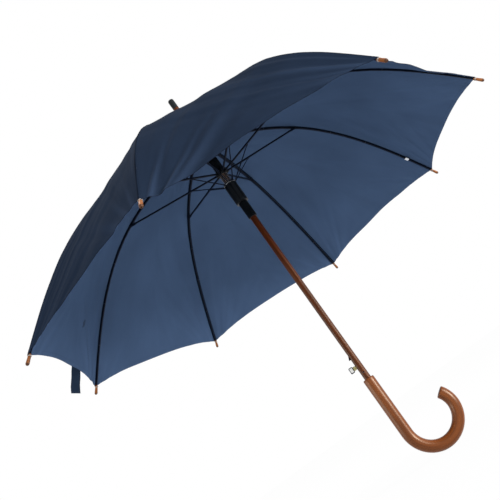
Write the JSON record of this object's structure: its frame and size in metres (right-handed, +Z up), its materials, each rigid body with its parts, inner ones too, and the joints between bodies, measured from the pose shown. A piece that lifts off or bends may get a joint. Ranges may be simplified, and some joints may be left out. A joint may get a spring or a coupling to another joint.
{
  "type": "stick umbrella",
  "caption": "Automatic stick umbrella, open: curved wooden crook handle and shaft, folding steel ribs and stretchers, navy cloth canopy.",
  "frame": {"origin": "on the shaft's axis, in the handle's straight grip", "axes": "+Z up the shaft to the ferrule, +X the way the crook bends, -X the release button's side"},
  "size_m": [0.9985, 0.993, 0.9076],
  "materials": {
    "wood": "satin varnish",
    "tip_wood": "satin varnish",
    "black_plastic": "satin moulded",
    "black_steel": "black lacquer",
    "bright_steel": "polished",
    "navy_cloth": "plain woven polyester"
  },
  "bodies": {
    "stick": {"shaft": "wood", "ferrule_cap": "black_plastic", "top_notch": "black_plastic", "canopy_washer": "black_plastic", "handle": "wood", "release_pin": "bright_steel"},
    "release": {"release_button": "bright_steel", "latch_spring": "black_steel"},
    "upper_runner": {"upper_runner": "black_plastic", "opening_spring": "bright_steel"},
    "lower_runner": {"lower_runner": "black_plastic"},
    "rib_1_inner": {"rib_1_inner": "black_steel"},
    "rib_1_outer": {"rib_1_outer": "black_steel", "rib_tip_1": "tip_wood", "canopy_gore_1": "navy_cloth"},
    "stretcher_1": {"stretcher_1": "black_steel"},
    "strut_1": {"strut_1": "black_steel"},
    "rib_2_inner": {"rib_2_inner": "black_steel"},
    "rib_2_outer": {"rib_2_outer": "black_steel", "rib_tip_2": "tip_wood", "canopy_gore_2": "navy_cloth"},
    "stretcher_2": {"stretcher_2": "black_steel"},
    "strut_2": {"strut_2": "black_steel"},
    "rib_3_inner": {"rib_3_inner": "black_steel"},
    "rib_3_outer": {"rib_3_outer": "black_steel", "rib_tip_3": "tip_wood", "canopy_gore_3": "navy_cloth"},
    "stretcher_3": {"stretcher_3": "black_steel"},
    "strut_3": {"strut_3": "black_steel"},
    "rib_4_inner": {"rib_4_inner": "black_steel"},
    "rib_4_outer": {"rib_4_outer": "black_steel", "rib_tip_4": "tip_wood", "canopy_gore_4": "navy_cloth"},
    "stretcher_4": {"stretcher_4": "black_steel"},
    "strut_4": {"strut_4": "black_steel"},
    "rib_5_inner": {"rib_5_inner": "black_steel"},
    "rib_5_outer": {"rib_5_outer": "black_steel", "rib_tip_5": "tip_wood", "canopy_gore_5": "navy_cloth", "tie_strap": "navy_cloth"},
    "stretcher_5": {"stretcher_5": "black_steel"},
    "strut_5": {"strut_5": "black_steel"},
    "rib_6_inner": {"rib_6_inner": "black_steel"},
    "rib_6_outer": {"rib_6_outer": "black_steel", "rib_tip_6": "tip_wood", "canopy_gore_6": "navy_cloth"},
    "stretcher_6": {"stretcher_6": "black_steel"},
    "strut_6": {"strut_6": "black_steel"},
    "rib_7_inner": {"rib_7_inner": "black_steel"},
    "rib_7_outer": {"rib_7_outer": "black_steel", "rib_tip_7": "tip_wood", "canopy_gore_7": "navy_cloth"},
    "stretcher_7": {"stretcher_7": "black_steel"},
    "strut_7": {"strut_7": "black_steel"},
    "rib_8_inner": {"rib_8_inner": "black_steel"},
    "rib_8_outer": {"rib_8_outer": "black_steel", "rib_tip_8": "tip_wood", "canopy_gore_8": "navy_cloth"},
    "stretcher_8": {"stretcher_8": "black_steel"},
    "strut_8": {"strut_8": "black_steel"}
  },
  "joints": [
    {"name": "rib_1_fold", "type": "hinge", "parent": "stick", "child": "rib_1_inner", "pos_m": [0.01165, -0.00288, 0.6691], "axis": [0.2402, 0.9707, 0], "range_deg": [0, 78.68], "stiffness_Nm_per_rad": 0.6, "springref_deg": -148.97},
    {"name": "rib_1_flex", "type": "hinge", "parent": "rib_1_inner", "child": "rib_1_outer", "pos_m": [0.23026, -0.05698, 0.62401], "axis": [0.2402, 0.9707, 0], "range_deg": [-33.45, 0], "deforming": ["canopy_gore_1"]},
    {"name": "stretcher_1_swing", "type": "hinge", "parent": "rib_1_inner", "child": "stretcher_1", "pos_m": [0.23026, -0.05698, 0.62401], "axis": [0.2402, 0.9707, 0], "range_deg": [-157.37, 0]},
    {"name": "strut_1_swing", "type": "hinge", "parent": "stretcher_1", "child": "strut_1", "pos_m": [0.07729, -0.01521, 0.59227], "axis": [0.2402, 0.9707, 0], "range_deg": [0, 23.51]},
    {"name": "rib_2_fold", "type": "hinge", "parent": "stick", "child": "rib_2_inner", "pos_m": [0.01027, 0.0062, 0.6691], "axis": [-0.5165, 0.8563, 0], "range_deg": [0, 78.7]},
    {"name": "rib_2_flex", "type": "hinge", "parent": "rib_2_inner", "child": "rib_2_outer", "pos_m": [0.20311, 0.12252, 0.62401], "axis": [-0.5165, 0.8563, 0], "range_deg": [-33.45, 0], "deforming": ["canopy_gore_2"]},
    {"name": "stretcher_2_swing", "type": "hinge", "parent": "rib_2_inner", "child": "stretcher_2", "pos_m": [0.20311, 0.12252, 0.62401], "axis": [-0.5165, 0.8563, 0], "range_deg": [-157.37, 0]},
    {"name": "strut_2_swing", "type": "hinge", "parent": "stretcher_2", "child": "strut_2", "pos_m": [0.06541, 0.04389, 0.59227], "axis": [-0.5165, 0.8563, 0], "range_deg": [0, 23.51]},
    {"name": "rib_3_fold", "type": "hinge", "parent": "stick", "child": "rib_3_inner", "pos_m": [0.00288, 0.01165, 0.6691], "axis": [-0.9707, 0.2402, 0], "range_deg": [0, 78.7]},
    {"name": "rib_3_flex", "type": "hinge", "parent": "rib_3_inner", "child": "rib_3_outer", "pos_m": [0.05698, 0.23026, 0.62401], "axis": [-0.9707, 0.2402, 0], "range_deg": [-33.45, 0], "deforming": ["canopy_gore_3"]},
    {"name": "stretcher_3_swing", "type": "hinge", "parent": "rib_3_inner", "child": "stretcher_3", "pos_m": [0.05698, 0.23026, 0.62401], "axis": [-0.9707, 0.2402, 0], "range_deg": [-157.37, 0]},
    {"name": "strut_3_swing", "type": "hinge", "parent": "stretcher_3", "child": "strut_3", "pos_m": [0.01521, 0.07729, 0.59227], "axis": [-0.9707, 0.2402, 0], "range_deg": [0, 23.51]},
    {"name": "rib_4_fold", "type": "hinge", "parent": "stick", "child": "rib_4_inner", "pos_m": [-0.0062, 0.01027, 0.6691], "axis": [-0.8563, -0.5165, 0], "range_deg": [0, 78.7]},
    {"name": "rib_4_flex", "type": "hinge", "parent": "rib_4_inner", "child": "rib_4_outer", "pos_m": [-0.12252, 0.20311, 0.62401], "axis": [-0.8563, -0.5165, 0], "range_deg": [-33.45, 0], "deforming": ["canopy_gore_4"]},
    {"name": "stretcher_4_swing", "type": "hinge", "parent": "rib_4_inner", "child": "stretcher_4", "pos_m": [-0.12252, 0.20311, 0.62401], "axis": [-0.8563, -0.5165, 0], "range_deg": [-157.37, 0]},
    {"name": "strut_4_swing", "type": "hinge", "parent": "stretcher_4", "child": "strut_4", "pos_m": [-0.04389, 0.06541, 0.59227], "axis": [-0.8563, -0.5165, 0], "range_deg": [0, 23.51]},
    {"name": "rib_5_fold", "type": "hinge", "parent": "stick", "child": "rib_5_inner", "pos_m": [-0.01165, 0.00288, 0.6691], "axis": [-0.2402, -0.9707, 0], "range_deg": [0, 78.7]},
    {"name": "rib_5_flex", "type": "hinge", "parent": "rib_5_inner", "child": "rib_5_outer", "pos_m": [-0.23026, 0.05698, 0.62401], "axis": [-0.2402, -0.9707, 0], "range_deg": [-33.45, 0], "deforming": ["canopy_gore_5", "tie_strap"]},
    {"name": "stretcher_5_swing", "type": "hinge", "parent": "rib_5_inner", "child": "stretcher_5", "pos_m": [-0.23026, 0.05698, 0.62401], "axis": [-0.2402, -0.9707, 0], "range_deg": [-157.37, 0]},
    {"name": "strut_5_swing", "type": "hinge", "parent": "stretcher_5", "child": "strut_5", "pos_m": [-0.07729, 0.01521, 0.59227], "axis": [-0.2402, -0.9707, 0], "range_deg": [0, 23.51]},
    {"name": "rib_6_fold", "type": "hinge", "parent": "stick", "child": "rib_6_inner", "pos_m": [-0.01027, -0.0062, 0.6691], "axis": [0.5165, -0.8563, 0], "range_deg": [0, 78.7]},
    {"name": "rib_6_flex", "type": "hinge", "parent": "rib_6_inner", "child": "rib_6_outer", "pos_m": [-0.20311, -0.12252, 0.62401], "axis": [0.5165, -0.8563, 0], "range_deg": [-33.45, 0], "deforming": ["canopy_gore_6"]},
    {"name": "stretcher_6_swing", "type": "hinge", "parent": "rib_6_inner", "child": "stretcher_6", "pos_m": [-0.20311, -0.12252, 0.62401], "axis": [0.5165, -0.8563, 0], "range_deg": [-157.37, 0]},
    {"name": "strut_6_swing", "type": "hinge", "parent": "stretcher_6", "child": "strut_6", "pos_m": [-0.06541, -0.04389, 0.59227], "axis": [0.5165, -0.8563, 0], "range_deg": [0, 23.51]},
    {"name": "rib_7_fold", "type": "hinge", "parent": "stick", "child": "rib_7_inner", "pos_m": [-0.00288, -0.01165, 0.6691], "axis": [0.9707, -0.2402, 0], "range_deg": [0, 78.7]},
    {"name": "rib_7_flex", "type": "hinge", "parent": "rib_7_inner", "child": "rib_7_outer", "pos_m": [-0.05698, -0.23026, 0.62401], "axis": [0.9707, -0.2402, 0], "range_deg": [-33.45, 0], "deforming": ["canopy_gore_7"]},
    {"name": "stretcher_7_swing", "type": "hinge", "parent": "rib_7_inner", "child": "stretcher_7", "pos_m": [-0.05698, -0.23026, 0.62401], "axis": [0.9707, -0.2402, 0], "range_deg": [-157.37, 0]},
    {"name": "strut_7_swing", "type": "hinge", "parent": "stretcher_7", "child": "strut_7", "pos_m": [-0.01521, -0.07729, 0.59227], "axis": [0.9707, -0.2402, 0], "range_deg": [0, 23.51]},
    {"name": "rib_8_fold", "type": "hinge", "parent": "stick", "child": "rib_8_inner", "pos_m": [0.0062, -0.01027, 0.6691], "axis": [0.8563, 0.5165, 0], "range_deg": [0, 78.7]},
    {"name": "rib_8_flex", "type": "hinge", "parent": "rib_8_inner", "child": "rib_8_outer", "pos_m": [0.12252, -0.20311, 0.62401], "axis": [0.8563, 0.5165, 0], "range_deg": [-33.45, 0], "deforming": ["canopy_gore_8"]},
    {"name": "stretcher_8_swing", "type": "hinge", "parent": "rib_8_inner", "child": "stretcher_8", "pos_m": [0.12252, -0.20311, 0.62401], "axis": [0.8563, 0.5165, 0], "range_deg": [-157.37, 0]},
    {"name": "strut_8_swing", "type": "hinge", "parent": "stretcher_8", "child": "strut_8", "pos_m": [0.04389, -0.06541, 0.59227], "axis": [0.8563, 0.5165, 0], "range_deg": [0, 23.51]},
    {"name": "upper_runner_pivot", "type": "hinge", "parent": "stretcher_1", "child": "upper_runner", "pos_m": [0.01165, -0.00288, 0.57891], "axis": [0.2402, 0.9707, 0], "range_deg": [0, 78.7]},
    {"name": "lower_runner_slide", "type": "slide", "parent": "upper_runner", "child": "lower_runner", "axis": [0, 0, 1], "range_m": [0, 0.01961], "deforming": ["opening_spring"]},
    {"name": "release_press", "type": "hinge", "parent": "stick", "child": "release", "pos_m": [0, 0, 0.078], "axis": [0, 1, 0], "range_deg": [0, 5], "stiffness_Nm_per_rad": 1, "springref_deg": -8.59, "deforming": ["latch_spring"]}
  ],
  "couplings": [
    {"joint": "rib_1_flex", "follows": "rib_1_fold", "ratio": -0.4249},
    {"joint": "stretcher_1_swing", "follows": "rib_1_fold", "ratio": -2},
    {"joint": "strut_1_swing", "follows": "rib_1_fold", "ratio": 0.2986},
    {"joint": "rib_2_fold", "follows": "rib_1_fold", "ratio": 1},
    {"joint": "rib_2_flex", "follows": "rib_1_fold", "ratio": -0.4249},
    {"joint": "stretcher_2_swing", "follows": "rib_1_fold", "ratio": -2},
    {"joint": "strut_2_swing", "follows": "rib_1_fold", "ratio": 0.2986},
    {"joint": "rib_3_fold", "follows": "rib_1_fold", "ratio": 1},
    {"joint": "rib_3_flex", "follows": "rib_1_fold", "ratio": -0.4249},
    {"joint": "stretcher_3_swing", "follows": "rib_1_fold", "ratio": -2},
    {"joint": "strut_3_swing", "follows": "rib_1_fold", "ratio": 0.2986},
    {"joint": "rib_4_fold", "follows": "rib_1_fold", "ratio": 1},
    {"joint": "rib_4_flex", "follows": "rib_1_fold", "ratio": -0.4249},
    {"joint": "stretcher_4_swing", "follows": "rib_1_fold", "ratio": -2},
    {"joint": "strut_4_swing", "follows": "rib_1_fold", "ratio": 0.2986},
    {"joint": "rib_5_fold", "follows": "rib_1_fold", "ratio": 1},
    {"joint": "rib_5_flex", "follows": "rib_1_fold", "ratio": -0.4249},
    {"joint": "stretcher_5_swing", "follows": "rib_1_fold", "ratio": -2},
    {"joint": "strut_5_swing", "follows": "rib_1_fold", "ratio": 0.2986},
    {"joint": "rib_6_fold", "follows": "rib_1_fold", "ratio": 1},
    {"joint": "rib_6_flex", "follows": "rib_1_fold", "ratio": -0.4249},
    {"joint": "stretcher_6_swing", "follows": "rib_1_fold", "ratio": -2},
    {"joint": "strut_6_swing", "follows": "rib_1_fold", "ratio": 0.2986},
    {"joint": "rib_7_fold", "follows": "rib_1_fold", "ratio": 1},
    {"joint": "rib_7_flex", "follows": "rib_1_fold", "ratio": -0.4249},
    {"joint": "stretcher_7_swing", "follows": "rib_1_fold", "ratio": -2},
    {"joint": "strut_7_swing", "follows": "rib_1_fold", "ratio": 0.2986},
    {"joint": "rib_8_fold", "follows": "rib_1_fold", "ratio": 1},
    {"joint": "rib_8_flex", "follows": "rib_1_fold", "ratio": -0.4249},
    {"joint": "stretcher_8_swing", "follows": "rib_1_fold", "ratio": -2},
    {"joint": "strut_8_swing", "follows": "rib_1_fold", "ratio": 0.2986},
    {"joint": "upper_runner_pivot", "follows": "rib_1_fold", "ratio": 1},
    {"joint": "lower_runner_slide", "follows": "rib_1_fold", "m_per_rad": 0.01427}
  ]
}
